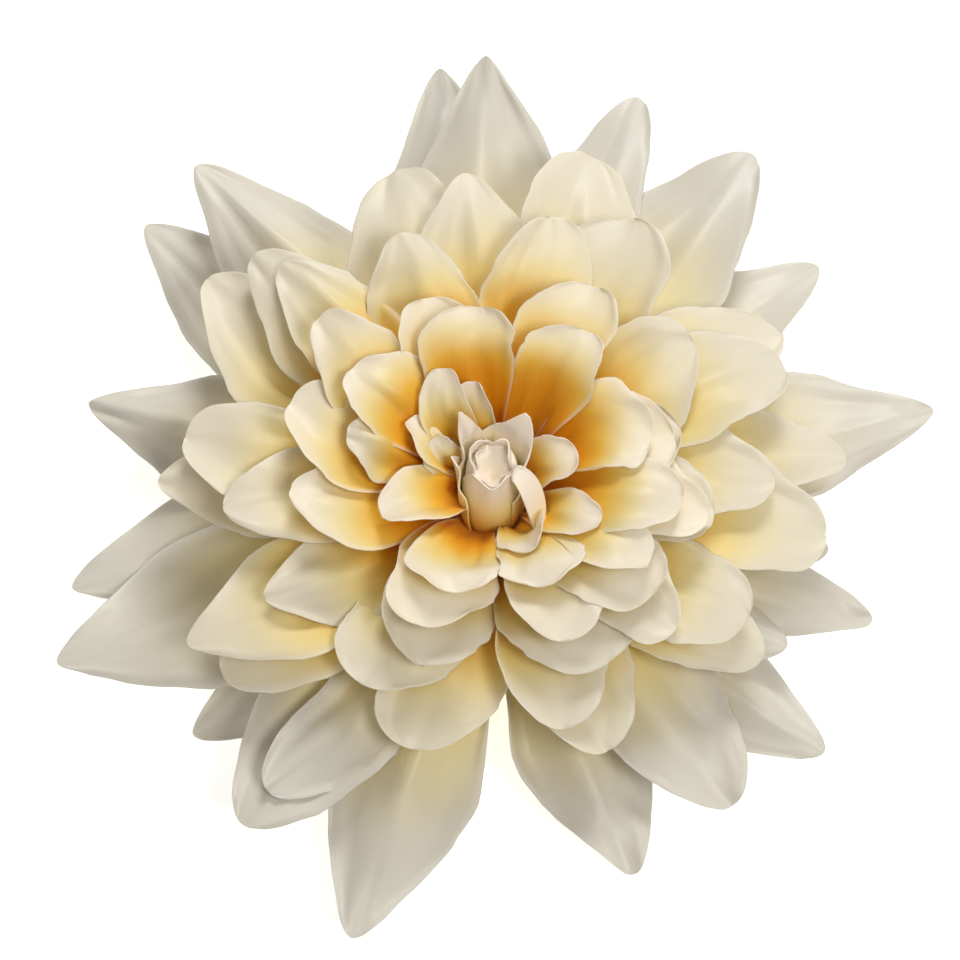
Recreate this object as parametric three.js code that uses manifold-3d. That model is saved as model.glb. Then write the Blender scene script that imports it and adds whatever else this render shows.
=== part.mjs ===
// Dahlia flower head, cream white with a yellow to orange heart.
// The stem is cut close below the calyx, and the head rests face up on its back.
// Millimetres, +Z up. The origin is the middle of the flat cut end of the stem.

import * as THREE from "three";
import { mergeVertices } from "three/addons/utils/BufferGeometryUtils.js";
import Module from "manifold-3d";

const RAD = Math.PI / 180;

// Petals are thin sheets. Each is a grid of rows along it and columns across it.
const PETAL_THICKNESS = 0.7;
const OUTER_GRID = [6, 4];
const INNER_GRID = [5, 4];
const CURL_GRID = [4, 4];
const BRACT_GRID = [4, 2];
const TIP_HALF_WIDTH = 0.45;
const SLIVER = 0.02;

// The stem runs up through the head as a slim core, and every ring of petals sits round it.
const CORE_RADIUS = 4.2;
const CORE_TOP = 19.6;
const CLEARANCE = 0.35;
const CUT_RADIUS = 5;
const BUD_BASE = 21.9;
const BUD_TOP = 38.5;
const BUD_RADIUS = 5;
// The bud leans towards the front: shift along Y at its foot and at its top.
const BUD_LEAN = [-4.4, -2.7];
const ROUND_SIDES = 24;

// Each ring of petal feet: shift along Y, then its outline as radius and height pairs.
const OUTER_RING = {
  centre: 0, outline: [[0, 7.9], [12, 7.9], [12.8, 9.4], [11.4, 12.9], [0, 12.9]],
};
const MIDDLE_RING = {
  centre: -1.3, outline: [[0, 13.25], [10, 13.25], [11.4, 14.8], [9.6, 18.1], [0, 18.1]],
};
const INNER_RING = {
  centre: -2.5, outline: [[0, 18.5], [7.8, 18.5], [8.2, 19.8], [7.4, 21.5], [0, 21.5]],
};

// One row of petals that share a root circle and a manner of bending.
// centre: shift of the root circle along Y, because the head leans a little to the front.
// root: radius and height of the root circle. lift: angle at which a petal leaves it.
// reachOfLift: how far the first bend carries, as a share of the petal's length.
// cup: half angle of the cross section at root and tip. neck: width at the root as a share.
// widest: place along the petal where it reaches its full width.
// petals: azimuth, reach and height of the tip, full width, point (0 round to 1 sharp), bow
// to the left of its middle, and roll of its tip to the right.
const BACK_ROW = {
  centre: 0, root: [11, 9.2], lift: 6, reachOfLift: 0.45, cup: [20, 12],
  neck: 0.3, widest: 0.7,
  petals: [
    [-168, 73, 0.4, 20.5, 0.7, -2.5, 0],
    [-141, 64.5, 0.4, 18, 0.7, 5.5, 0],
    [-18, 68, 0.4, 17.5, 0.8, -2.5, 0],
    [-9, 58, 2, 15.5, 0.7, -1.5, 0],
    [36, 70.5, 0.4, 19, 0.8, 0.5, 0],
    [71, 76.5, 3, 17, 0.4, 0, 0],
    [97, 78, 2, 23.5, 0.9, -0.5, 0],
    [141, 78, 0.4, 23.5, 0.9, 2.5, 0],
  ],
};

const FRONT_ROW = {
  centre: 0, root: [10.6, 10.6], lift: 10, reachOfLift: 0.45, cup: [20, 14],
  neck: 0.3, widest: 0.7,
  petals: [
    [-158, 78, 8, 25, 0.7, 2.5, 0],
    [-107, 78, 9, 23, 0.6, 0.5, 0],
    [-70, 68.5, 10, 23.5, 0.7, -1, 0],
    [-39, 70.5, 9, 20, 0.7, -4, 0],
    [10, 75.5, 11, 21.5, 0.9, -2, 0],
    [53, 74, 11, 24.5, 0.5, 1, 0],
    [91, 75.5, 13, 25, 0.9, -1, 0],
    [132, 76, 11, 21, 0.7, -1.5, 0],
    [168, 69.5, 10, 20, 0.9, 3, 0],
  ],
};

const SHOULDER_ROW = {
  centre: -0.5, root: [10, 11.8], lift: 16, reachOfLift: 0.42, cup: [22, 12],
  neck: 0.3, widest: 0.7,
  petals: [
    [-127, 69, 13, 23, 0.3, 4.5, 0],
    [-124, 63, 16, 16, 0.1, 9, 0],
    [-53, 66, 14, 23, 0.3, -0.5, 0],
    [-29, 55.5, 14, 16.5, 0.6, -4.5, 0],
  ],
};

const LOW_ROW = {
  centre: -1, root: [9.8, 14.1], lift: 33, reachOfLift: 0.45, cup: [26, 10],
  neck: 0.3, widest: 0.68,
  petals: [
    [-145, 54, 19, 20, 0.3, 4, 0],
    [-103, 46, 22, 20, 0.1, -1, 0],
    [-67, 48.5, 23, 18.5, 0.2, -1, 0],
    [-35, 53, 20, 16.5, 0.4, -1, 0],
    [-7, 55.5, 20, 19.5, 0.2, -2.5, 0],
    [5, 59, 18, 15, 0.4, 1.5, 0],
    [30, 54.5, 19, 18.5, 0.3, 1, 0],
    [71, 58, 22, 20, 0.1, -1, 0],
    [111, 54, 24, 20.5, 0.1, -0.5, 0],
    [144, 59, 20, 20.5, 0.5, 4, 0],
    [180, 55, 19, 15, 0.5, 1, 0],
  ],
};

const MID_ROW = {
  centre: -1.4, root: [9.3, 15.4], lift: 41, reachOfLift: 0.45, cup: [28, 10],
  neck: 0.3, widest: 0.68,
  petals: [
    [-151, 56, 24, 19, 0.7, 5, 0],
    [-119, 40, 28, 19, 0.1, 0.5, 0],
    [-74, 43, 28, 17.5, 0.1, 2, 0],
    [-32, 47.5, 27, 17.5, 0.1, -2.5, 0],
    [1, 46, 26, 16, 0.3, 0.5, 0],
    [24, 51.5, 25, 18.5, 0.2, 0, 0],
    [64, 48, 29, 20.5, 0, -4, 0],
    [95, 50.5, 29, 21, 0.7, -1, 0],
    [138, 54, 26, 17.5, 0.4, 0.5, 0],
    [174, 51, 25, 17.5, 0.1, 2, 0],
  ],
};

const HIGH_ROW = {
  centre: -1.8, root: [8.6, 16.8], lift: 50, reachOfLift: 0.45, cup: [30, 10],
  neck: 0.32, widest: 0.666,
  petals: [
    [-174, 43.5, 29, 15, 0.3, 0.5, 0],
    [-151, 41.5, 29, 15.5, 0.6, 5, 0],
    [-109, 33, 32, 18, 0, -2.5, 0],
    [-63, 36, 32, 19, 0, -1, 0],
    [-39, 38.5, 32, 15, 0.2, -2, 0],
    [-9, 36, 32, 15.5, 0.1, 0, 0],
    [13, 30.5, 33, 14, 0.2, 0.5, 0],
    [30, 38.5, 32, 18.5, 0.1, 1.5, 0],
    [60, 34.5, 33, 13, 0.4, -1.5, 0],
    [79, 43, 33, 16.5, 0.1, -4, 0],
    [112, 42, 33, 17, 0.4, 1, 0],
    [135, 49, 30, 15, 0.4, 0, 0],
  ],
};

const CUP_ROW = {
  centre: -2.4, root: [7, 19.4], lift: 60, reachOfLift: 0.45, cup: [32, 12],
  neck: 0.34, widest: 0.666,
  petals: [
    [-175, 32, 35, 13.5, 0.5, 6.5, 0],
    [-109, 26.5, 37, 16, 0, -4, 0],
    [-68, 29.5, 37, 14.5, 0, 4, 0],
    [-42, 32, 36, 14.5, 0, 2, 0],
    [-11, 35, 36, 12, 0.3, 0.5, 0],
    [13, 29, 37, 14.5, 0, 0, 0],
    [63, 34, 37, 14, 0, -1, 0],
    [108, 29, 38, 14.5, 0.2, 1.5, 0],
    [140, 37.5, 36, 12.5, 0.3, 2.5, 0],
    [163, 34.5, 35, 14.5, 0.2, 2.5, 0],
  ],
};

const THROAT_ROW = {
  centre: -2.8, root: [6.4, 20.6], lift: 66, reachOfLift: 0.45, cup: [34, 14],
  neck: 0.36, widest: 0.666,
  petals: [
    [-105, 20.5, 40, 14, 0, -2.5, 0],
    [-70, 20, 40, 13, 0, 3.5, 0],
    [-30, 29, 39, 9.5, 0.2, -2, 0],
    [-11, 30.5, 39, 11, 0.3, 0, 0],
    [13, 26, 40, 13, 0, 5, 0],
    [59, 26, 41, 12.5, 0.2, -1.5, 0],
    [97, 26, 41, 13.5, 0.1, 3, 0],
    [142, 27.5, 39, 12, 0.3, 0.5, 0],
    [157, 23.5, 39, 9, 0.4, -1.5, 0],
  ],
};

const CURL_ROW = {
  centre: -3.6, root: [3.6, 23], lift: 80, reachOfLift: 0.5, cup: [48, 34],
  neck: 0.45, widest: 0.6,
  petals: [
    [-164, 18.5, 36, 9.5, 0.3, 0, 0],
    [-66, 14, 36, 7.5, 0, 2.5, 0],
    [-50, 12, 33, 4.5, 0.2, 1, 0],
    [-23, 18.5, 37, 6, 0.2, -2.5, 0],
    [17, 13, 38, 7.5, 0.1, -1, 0],
    [57, 10.5, 38, 6, 0.9, 0, 0],
    [103, 15.5, 39, 7.5, 0.2, 1.5, 0],
    [116, 19.5, 39, 8.5, 0.2, 5, 0],
    [119, 10.5, 38, 6.5, 0.3, 3, 0],
    [144, 15.5, 37, 4, 0.3, 3, 0],
    [152, 10.5, 36, 4.5, 0.3, 1.5, 0],
  ],
};

// The bud is wrapped by broad sheets: first and last azimuth, height of the rim, how far it
// stands off the bud, and how far its rim leans out.
const WRAPS = [
  [100, 290, 37.6, 0.45, 0.2],
  [-103, 110, 38.5, 0.8, 0.8],
  [150, 250, 34, 1.3, 1],
];

// Outlines of the stem and of the cup of the calyx, as radius and height pairs.
const STEM_OUTLINE = [
  [0, 0], [CUT_RADIUS, 0], [CUT_RADIUS + 0.2, 2.5], [6.4, 5], [8, 6.3], [8.6, 7.5],
  [CORE_RADIUS, 7.5], [CORE_RADIUS, CORE_TOP - 0.6], [CORE_RADIUS - 0.6, CORE_TOP], [0, CORE_TOP],
];
const CALYX_OUTLINE = [[5.75, 2.6], [7, 2.9], [8.9, 5.4], [10, 7.4], [9, 7.4], [8.4, 6.1], [6.9, 4.9]];

// Green leaflets of the calyx: root radius and height, reach and height of the tip, width.
const INNER_BRACTS = {
  count: 8, turn: 10, root: [9.2, 6.8], lift: 2, reachOfLift: 0.4, tip: [24, 6], width: 9,
};
const OUTER_BRACTS = {
  count: 5, turn: 30, root: [7.3, 4.4], lift: -6, reachOfLift: 0.4, tip: [19, 1.4], width: 7,
};

const wasm = await Module();
wasm.setup();
const { Manifold, Mesh } = wasm;

// A solid from a closed geometry.
function solidOf(geometry) {
  geometry.deleteAttribute("normal");
  geometry.deleteAttribute("uv");
  const merged = mergeVertices(geometry, 1e-4);
  const corners = merged.getIndex().array;
  const triangles = [];
  for (let i = 0; i < corners.length; i += 3) {
    const [a, b, c] = corners.slice(i, i + 3);
    if (a !== b && b !== c && c !== a) {
      triangles.push(a, b, c);
    }
  }
  const mesh = new Mesh({
    numProp: 3,
    vertProperties: Float32Array.from(merged.getAttribute("position").array),
    triVerts: Uint32Array.from(triangles),
  });
  return new Manifold(mesh);
}

// A closed outline of radius and height pairs, turned round the Z axis.
function turned(outline, sides) {
  const points = [...outline, outline[0]].map((pair) => new THREE.Vector2(...pair));
  return solidOf(new THREE.LatheGeometry(points, sides).rotateX(Math.PI / 2));
}

// A sheet of even thickness over a grid of points, with a unit normal at each point.
function sheet(grid, normals, thickness) {
  const rows = grid.length;
  const columns = grid[0].length;
  const points = [];
  for (const side of [0.5, -0.5]) {
    for (let j = 0; j < rows; j += 1) {
      for (let i = 0; i < columns; i += 1) {
        points.push(grid[j][i].clone().addScaledVector(normals[j][i], side * thickness));
      }
    }
  }
  const top = (j, i) => j * columns + i;
  const under = (j, i) => rows * columns + top(j, i);
  const triangles = [];
  for (let j = 0; j + 1 < rows; j += 1) {
    for (let i = 0; i + 1 < columns; i += 1) {
      const left = i < (columns - 1) / 2;
      const [a, b, c, d] = [[j, i], [j + 1, i], [j + 1, i + 1], [j, i + 1]];
      const halves = left ? [[a, b, c], [a, c, d]] : [[a, b, d], [b, c, d]];
      for (const [p, q, r] of halves) {
        triangles.push([top(...p), top(...q), top(...r)]);
        triangles.push([under(...p), under(...r), under(...q)]);
      }
    }
  }
  const rim = [];
  for (let i = 0; i + 1 < columns; i += 1) {
    rim.push([0, i]);
  }
  for (let j = 0; j + 1 < rows; j += 1) {
    rim.push([j, columns - 1]);
  }
  for (let i = columns - 1; i > 0; i -= 1) {
    rim.push([rows - 1, i]);
  }
  for (let j = rows - 1; j > 0; j -= 1) {
    rim.push([j, 0]);
  }
  rim.forEach((here, n) => {
    const next = rim[(n + 1) % rim.length];
    triangles.push([top(...here), top(...next), under(...next)]);
    triangles.push([top(...here), under(...next), under(...here)]);
  });
  const geometry = new THREE.BufferGeometry().setFromPoints(points);
  geometry.setIndex(triangles.flat());
  return solidOf(geometry);
}

// Half width of a petal at a share s of its length.
function halfWidth(s, width, neck, widest, point) {
  const swell = neck + (1 - neck) * Math.sin((Math.PI / 2) * Math.min(s / widest, 1));
  const round = Math.sqrt(Math.max(1 - Math.pow(s, 8), 0));
  const sharp = Math.max(1 - Math.pow(s, 5), 0);
  const taper = (1 - point) * round + point * sharp;
  return Math.max((width / 2) * swell * taper, TIP_HALF_WIDTH);
}

// One petal: a spine that leaves its root at the row's lift and bends to its tip, with a
// cupped cross section that turns about the spine by the roll.
function petal(row, settings, [rows, columns]) {
  const [azimuth, reach, height, width, point, bow, roll] = settings;
  const root = new THREE.Vector2(...row.root);
  const tip = new THREE.Vector2(reach, height);
  const bend = new THREE.Vector2(Math.cos(row.lift * RAD), Math.sin(row.lift * RAD))
    .multiplyScalar(row.reachOfLift * root.distanceTo(tip))
    .add(root);
  const line = new THREE.QuadraticBezierCurve(root, bend, tip);
  const out = new THREE.Vector3(Math.cos(azimuth * RAD), Math.sin(azimuth * RAD), 0);
  const left = new THREE.Vector3(-out.y, out.x, 0);
  const grid = [];
  const normals = [];
  for (let j = 0; j <= rows; j += 1) {
    const s = Math.sin((Math.PI / 2) * (j / rows));
    const { x: radius, y: rise } = line.getPoint(s);
    const slope = bend.clone().sub(root).multiplyScalar(1 - s).addScaledVector(tip.clone().sub(bend), s);
    const spine = out.clone().multiplyScalar(radius).setZ(rise);
    spine.addScaledVector(left, 2 * s * (1 - s) * bow);
    const along = out.clone().multiplyScalar(slope.x).setZ(slope.y);
    along.addScaledVector(left, (1 - 2 * s) * bow).normalize();
    const across = left.clone().addScaledVector(along, -left.dot(along)).normalize();
    across.applyAxisAngle(along, roll * s * RAD);
    const face = along.clone().cross(across);
    const half = halfWidth(s, width, row.neck, row.widest, point);
    const cup = Math.max(row.cup[0] + (row.cup[1] - row.cup[0]) * s, 1) * RAD;
    grid.push([]);
    normals.push([]);
    for (let i = 0; i <= columns; i += 1) {
      const turn = cup * ((2 * i) / columns - 1);
      const place = spine
        .clone()
        .addScaledVector(across, (half * Math.sin(turn)) / cup)
        .addScaledVector(face, (half * (1 - Math.cos(turn))) / cup);
      const normal = face.clone().multiplyScalar(Math.cos(turn));
      normal.addScaledVector(across, -Math.sin(turn));
      grid[j].push(place);
      normals[j].push(normal);
    }
  }
  return sheet(grid, normals, PETAL_THICKNESS);
}

function petalsOf(row, grid) {
  return row.petals.map((settings) => petal(row, settings, grid).translate([0, row.centre, 0]));
}

// The ring that a group of petals stands on, open below for the core of the stem.
function ringOf({ centre, outline }) {
  const radius = CORE_RADIUS + CLEARANCE;
  const top = CORE_TOP + CLEARANCE;
  const bore = turned([[0, 0], [radius, 0], [radius, top], [0, top]], ROUND_SIDES);
  return turned(outline, ROUND_SIDES).translate([0, centre, 0]).subtract(bore);
}

// Joins pieces in one body. What fusing seals or cuts loose is left out.
function fused(pieces) {
  const whole = pieces.reduce((sum, piece) => sum.add(piece));
  const bodies = whole.asOriginal().simplify(SLIVER).decompose();
  return bodies.reduce((a, b) => (a.volume() > b.volume() ? a : b));
}

// Radius of the closed bud at a height.
function budRadius(height) {
  const t = (height - BUD_BASE) / (BUD_TOP - BUD_BASE);
  return BUD_RADIUS * Math.sqrt(Math.max(1 - Math.pow((t - 0.42) / 0.62, 2), 0.05));
}

// One broad petal wrapped round the bud.
function wrap([from, to, rim, standOff, lean]) {
  const grid = [];
  const normals = [];
  const foot = BUD_BASE + 2;
  for (let j = 0; j <= 4; j += 1) {
    grid.push([]);
    normals.push([]);
    for (let i = 0; i <= 6; i += 1) {
      const across = i / 6;
      const angle = (from + (to - from) * across) * RAD;
      const top = foot + (rim - foot) * (0.72 + 0.28 * Math.sin(Math.PI * across));
      const height = foot + (top - foot) * (j / 4);
      const radius = budRadius(height) - 0.3 + standOff + lean * Math.pow(j / 4, 3);
      const out = new THREE.Vector3(Math.cos(angle), Math.sin(angle), 0);
      normals[j].push(out.clone().negate());
      grid[j].push(out.multiplyScalar(radius).setZ(height));
    }
  }
  return sheet(grid, normals, PETAL_THICKNESS);
}

function bud() {
  const outline = [[0, BUD_BASE], [3.4, BUD_BASE]];
  for (const height of [24, 27, 30, 33, 35.5]) {
    outline.push([budRadius(height), height]);
  }
  outline.push([2, 37], [0, 35.5]);
  return turned(outline, 14);
}

function bracts({ count, turn, root, lift, reachOfLift, tip, width }) {
  const row = { root, lift, reachOfLift, cup: [14, 8], neck: 0.6, widest: 0.4 };
  const pieces = [];
  for (let i = 0; i < count; i += 1) {
    pieces.push(petal(row, [turn + (360 * i) / count, ...tip, width, 0.8, 0, 0], BRACT_GRID));
  }
  return pieces;
}

function meshOf(name, solid, color, roughness) {
  const { vertProperties, triVerts } = solid.getMesh();
  const geometry = new THREE.BufferGeometry();
  geometry.setAttribute("position", new THREE.BufferAttribute(vertProperties, 3));
  geometry.setIndex(new THREE.BufferAttribute(triVerts, 1));
  geometry.computeVertexNormals();
  const material = new THREE.MeshStandardMaterial({ color, roughness, metalness: 0 });
  const mesh = new THREE.Mesh(geometry, material);
  mesh.name = name;
  return mesh;
}

// The cut stem widens into the receptacle, whose slim core carries the rings of petals.
const stem = turned(STEM_OUTLINE, ROUND_SIDES);
const calyx = fused([
  turned(CALYX_OUTLINE, ROUND_SIDES),
  ...bracts(INNER_BRACTS),
  ...bracts(OUTER_BRACTS),
]);

const outerPetals = fused([
  ringOf(OUTER_RING),
  ...petalsOf(BACK_ROW, OUTER_GRID),
  ...petalsOf(FRONT_ROW, OUTER_GRID),
  ...petalsOf(SHOULDER_ROW, OUTER_GRID),
]);
const middlePetals = fused([
  ringOf(MIDDLE_RING),
  ...petalsOf(LOW_ROW, INNER_GRID),
  ...petalsOf(MID_ROW, INNER_GRID),
  ...petalsOf(HIGH_ROW, INNER_GRID),
]);
const innerPetals = fused([
  ringOf(INNER_RING),
  ...petalsOf(CUP_ROW, INNER_GRID),
  ...petalsOf(THROAT_ROW, INNER_GRID),
]);
const [leanAtFoot, leanAtTop] = BUD_LEAN;
const slant = (leanAtTop - leanAtFoot) / (BUD_TOP - BUD_BASE);
const leaning = new THREE.Matrix4().set(
  1, 0, 0, 0,
  0, 1, slant, leanAtFoot - slant * BUD_BASE,
  0, 0, 1, 0,
  0, 0, 0, 1,
);
const closedBud = fused([bud(), ...WRAPS.map(wrap)]).transform(leaning.elements);
const heart = fused([closedBud, ...petalsOf(CURL_ROW, CURL_GRID)]);

const flower = new THREE.Group();
flower.name = "dahlia_flower";
flower.add(meshOf("stem", stem, "#7d8f4e", 0.7));
flower.add(meshOf("calyx", calyx, "#93a35f", 0.7));
flower.add(meshOf("outer_petals", outerPetals, "#ece8dd", 0.6));
flower.add(meshOf("middle_petals", middlePetals, "#eadfb8", 0.6));
flower.add(meshOf("inner_petals", innerPetals, "#e3b45a", 0.6));
flower.add(meshOf("heart", heart, "#eee3c8", 0.6));

export default flower;
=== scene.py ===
import math
from typing import NamedTuple

import bmesh
import bpy
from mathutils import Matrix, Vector


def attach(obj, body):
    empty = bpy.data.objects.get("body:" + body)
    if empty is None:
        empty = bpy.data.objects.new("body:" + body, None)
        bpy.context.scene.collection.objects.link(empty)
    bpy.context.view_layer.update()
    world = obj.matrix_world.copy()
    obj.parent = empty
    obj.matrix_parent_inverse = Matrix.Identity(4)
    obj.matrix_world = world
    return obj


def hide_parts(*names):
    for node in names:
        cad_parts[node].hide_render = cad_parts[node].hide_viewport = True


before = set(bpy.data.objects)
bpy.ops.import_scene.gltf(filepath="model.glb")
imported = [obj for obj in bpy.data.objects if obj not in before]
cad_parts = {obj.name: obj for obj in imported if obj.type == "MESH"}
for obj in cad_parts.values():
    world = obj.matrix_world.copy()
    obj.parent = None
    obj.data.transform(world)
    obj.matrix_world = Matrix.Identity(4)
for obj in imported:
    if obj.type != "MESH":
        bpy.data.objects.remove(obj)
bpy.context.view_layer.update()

bl_info = {
    "name": "Dahlia Flower",
    "version": (1, 0, 0),
    "blender": (4, 5, 0),
    "location": "View3D > Sidebar > Dahlia",
    "description": "Builds the petals, heart, calyx and stem of a dahlia head around its packed frame",
    "category": "Add Mesh",
}

MM = 0.001


class Row(NamedTuple):
    """Petals that share a root circle and a manner of bending, in millimetres and degrees."""

    # How far the row's middle lies along Y, then the radius and height of its root circle.
    shift: float
    root: tuple
    # The slope at which petals leave the root, and how far it carries them towards the tip.
    lift: float
    reach_of_lift: float
    # The cup of the cross section at root and tip, in degrees to either side.
    cup: tuple
    # The share of the full width at the root, and where along the petal the full width is.
    neck: float
    widest: float
    petals: list


# Each petal: azimuth, reach and height of its tip, full width, point (0 round to 1 sharp)
# and bow to the left of its middle.
BACK_ROW = Row(
    shift=0, root=(11, 9.2), lift=6, reach_of_lift=0.45, cup=(30, 12), neck=0.3, widest=0.7,
    petals=[
        (-168, 73, 0.4, 20.5, 0.7, -2.5),
        (-141, 64.5, 0.4, 18, 0.7, 5.5),
        (-18, 68, 0.4, 17.5, 0.8, -2.5),
        (-9, 58, 2, 15.5, 0.7, -1.5),
        (36, 70.5, 0.4, 19, 0.8, 0.5),
        (71, 76.5, 3, 17, 0.4, 0),
        (97, 78, 2, 23.5, 0.9, -0.5),
        (141, 78, 0.4, 23.5, 0.9, 2.5),
    ],
)

FRONT_ROW = Row(
    shift=0, root=(10.6, 10.6), lift=10, reach_of_lift=0.45, cup=(30, 12), neck=0.3, widest=0.7,
    petals=[
        (-158, 78, 8, 25, 0.7, 2.5),
        (-107, 78, 9, 23, 0.6, 0.5),
        (-70, 68.5, 10, 23.5, 0.7, -1),
        (-39, 70.5, 9, 20, 0.7, -4),
        (10, 75.5, 11, 21.5, 0.9, -2),
        (53, 74, 11, 24.5, 0.5, 1),
        (91, 75.5, 13, 25, 0.9, -1),
        (132, 76, 11, 21, 0.7, -1.5),
        (168, 69.5, 10, 20, 0.9, 3),
    ],
)

SHOULDER_ROW = Row(
    shift=-0.5, root=(10, 11.8), lift=16, reach_of_lift=0.42, cup=(30, 12), neck=0.3, widest=0.7,
    petals=[
        (-127, 69, 13, 23, 0.3, 4.5),
        (-124, 63, 16, 16, 0.1, 9),
        (-53, 66, 14, 23, 0.3, -0.5),
        (-29, 55.5, 14, 16.5, 0.6, -4.5),
    ],
)

LOW_ROW = Row(
    shift=-1, root=(9.8, 14.1), lift=33, reach_of_lift=0.56, cup=(34, 20), neck=0.3, widest=0.68,
    petals=[
        (-145, 54, 19, 20, 0.3, 4),
        (-103, 46, 22, 20, 0.1, -1),
        (-67, 48.5, 23, 18.5, 0.2, -1),
        (-35, 53, 20, 16.5, 0.4, -1),
        (-7, 55.5, 20, 19.5, 0.2, -2.5),
        (5, 59, 18, 15, 0.4, 1.5),
        (30, 54.5, 19, 18.5, 0.3, 1),
        (71, 58, 22, 20, 0.1, -1),
        (111, 54, 24, 20.5, 0.1, -0.5),
        (144, 59, 20, 20.5, 0.5, 4),
        (180, 55, 19, 15, 0.5, 1),
    ],
)

MID_ROW = Row(
    shift=-1.4, root=(9.3, 15.4), lift=41, reach_of_lift=0.56, cup=(34, 20), neck=0.3, widest=0.68,
    petals=[
        (-151, 56, 24, 19, 0.7, 5),
        (-119, 40, 28, 19, 0.1, 0.5),
        (-74, 43, 28, 17.5, 0.1, 2),
        (-32, 47.5, 27, 17.5, 0.1, -2.5),
        (1, 46, 26, 16, 0.3, 0.5),
        (24, 51.5, 25, 18.5, 0.2, 0),
        (64, 48, 29, 20.5, 0, -4),
        (95, 50.5, 29, 21, 0.7, -1),
        (138, 54, 26, 17.5, 0.4, 0.5),
        (174, 51, 25, 17.5, 0.1, 2),
    ],
)

HIGH_ROW = Row(
    shift=-1.8, root=(8.6, 16.8), lift=50, reach_of_lift=0.56, cup=(34, 20), neck=0.32, widest=0.666,
    petals=[
        (-174, 43.5, 29, 15, 0.3, 0.5),
        (-151, 41.5, 29, 15.5, 0.6, 5),
        (-109, 33, 32, 18, 0, -2.5),
        (-63, 36, 32, 19, 0, -1),
        (-39, 38.5, 32, 15, 0.2, -2),
        (-9, 36, 32, 15.5, 0.1, 0),
        (13, 30.5, 33, 14, 0.2, 0.5),
        (30, 38.5, 32, 18.5, 0.1, 1.5),
        (60, 34.5, 33, 13, 0.4, -1.5),
        (79, 43, 33, 16.5, 0.1, -4),
        (112, 42, 33, 17, 0.4, 1),
        (135, 49, 30, 15, 0.4, 0),
    ],
)

CUP_ROW = Row(
    shift=-2.4, root=(7, 19.4), lift=60, reach_of_lift=0.62, cup=(54, 36), neck=0.34, widest=0.666,
    petals=[
        (-175, 32, 35, 13.5, 0.5, 6.5),
        (-109, 26.5, 37, 16, 0, -4),
        (-68, 29.5, 37, 14.5, 0, 4),
        (-42, 32, 36, 14.5, 0, 2),
        (-11, 35, 36, 12, 0.3, 0.5),
        (13, 29, 37, 14.5, 0, 0),
        (63, 34, 37, 14, 0, -1),
        (108, 29, 38, 14.5, 0.2, 1.5),
        (140, 37.5, 36, 12.5, 0.3, 2.5),
        (163, 34.5, 35, 14.5, 0.2, 2.5),
    ],
)

THROAT_ROW = Row(
    shift=-2.8, root=(6.4, 20.6), lift=66, reach_of_lift=0.76, cup=(54, 36), neck=0.36, widest=0.666,
    petals=[
        (-107, 20.5, 40, 13, 0, -2.5),
        (-68, 20, 39.6, 12.4, 0, 3.5),
        (-30, 29, 39, 9.5, 0.2, -2),
        (-11, 30.5, 39, 11, 0.3, 0),
        (13, 26, 40, 13, 0, 5),
        (59, 26, 41, 12.5, 0.2, -1.5),
        (97, 26, 41, 13.5, 0.1, 3),
        (142, 27.5, 39, 12, 0.3, 0.5),
        (168, 23.5, 37.8, 7.6, 0.4, -1.5),
    ],
)

# The curls at the front bend out before they rise, so that the bud stays in sight. Sheets of
# the bud and its ribbon stand for three more curls, at 57, 119 and -50 degrees.
LOW_CURLS = Row(
    shift=-3.6, root=(6.8, 23), lift=76, reach_of_lift=0.64, cup=(78, 50), neck=0.45, widest=0.6,
    petals=[
        (-66, 12.6, 37.6, 8.5, 0.1, 2.5),
        (-23, 18.3, 38.4, 6.2, 0.5, -2.5),
    ],
)

HIGH_CURLS = Row(
    shift=-3.6, root=(4.6, 23), lift=78, reach_of_lift=0.64, cup=(78, 50), neck=0.45, widest=0.6,
    petals=[
        (-164, 18.5, 36, 9.5, 0.3, 0),
        (17, 13, 38, 7.5, 0.1, -1),
        (103, 14.5, 39, 6.4, 0.5, 1.5),
        (116, 18.5, 39, 6.6, 0.5, 5),
        (144, 15.5, 37, 4, 0.3, 3),
        (152, 10.5, 36, 4.5, 0.3, 1.5),
    ],
)

INNER_BRACTS = Row(
    shift=0, root=(9.2, 6.8), lift=2, reach_of_lift=0.4, cup=(14, 8), neck=0.6, widest=0.4,
    petals=[(10 + 45 * n, 24, 6, 9, 0.8, 0) for n in range(8)],
)

OUTER_BRACTS = Row(
    shift=0, root=(7.3, 4.4), lift=-6, reach_of_lift=0.4, cup=(14, 8), neck=0.6, widest=0.4,
    petals=[(30 + 72 * n, 19, 1.4, 7, 0.8, 0) for n in range(5)],
)

# Sheets wrapped round the bud: first and last azimuth, height of the rim, where its highest
# point is from 0 to 1, the power of its fall from there, how far the sheet stands off the bud,
# and how far its highest point leans out, in degrees and millimetres.
WRAPS = [
    (168, 366, 37.2, 0.5, 6.0, 0.12, 0.8),
    (240, 400, 36.0, 0.5, 2.0, -1.5, 0.3),
    (50, 230, 36.6, 0.5, 2.0, -1.4, 0.6),
    (186, 330, 36.9, 0.42, 2.2, -0.8, 0.9),
    (-34, 120, 37.6, 0.6, 2.5, -0.8, 1.3),
    (66, 226, 37.9, 0.5, 2.5, -0.3, 1.0),
    (-50, 132, 39.4, 0.56, 0.8, 0.3, 5.2),
    (92, 172, 40.0, 0.42, 0.9, 0.5, 5.0),
    (134, 226, 36.8, 0.35, 1.2, 0.8, 2.4),
]
# The ribbon that peels off the bud: its start, the point it bends towards, and its end.
RIBBON = ((3.2, -3.2, 37.4), (6.9, -4.9, 37.8), (7.2, -11.6, 31.4))
RIBBON_WIDTH = 4.5

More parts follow.
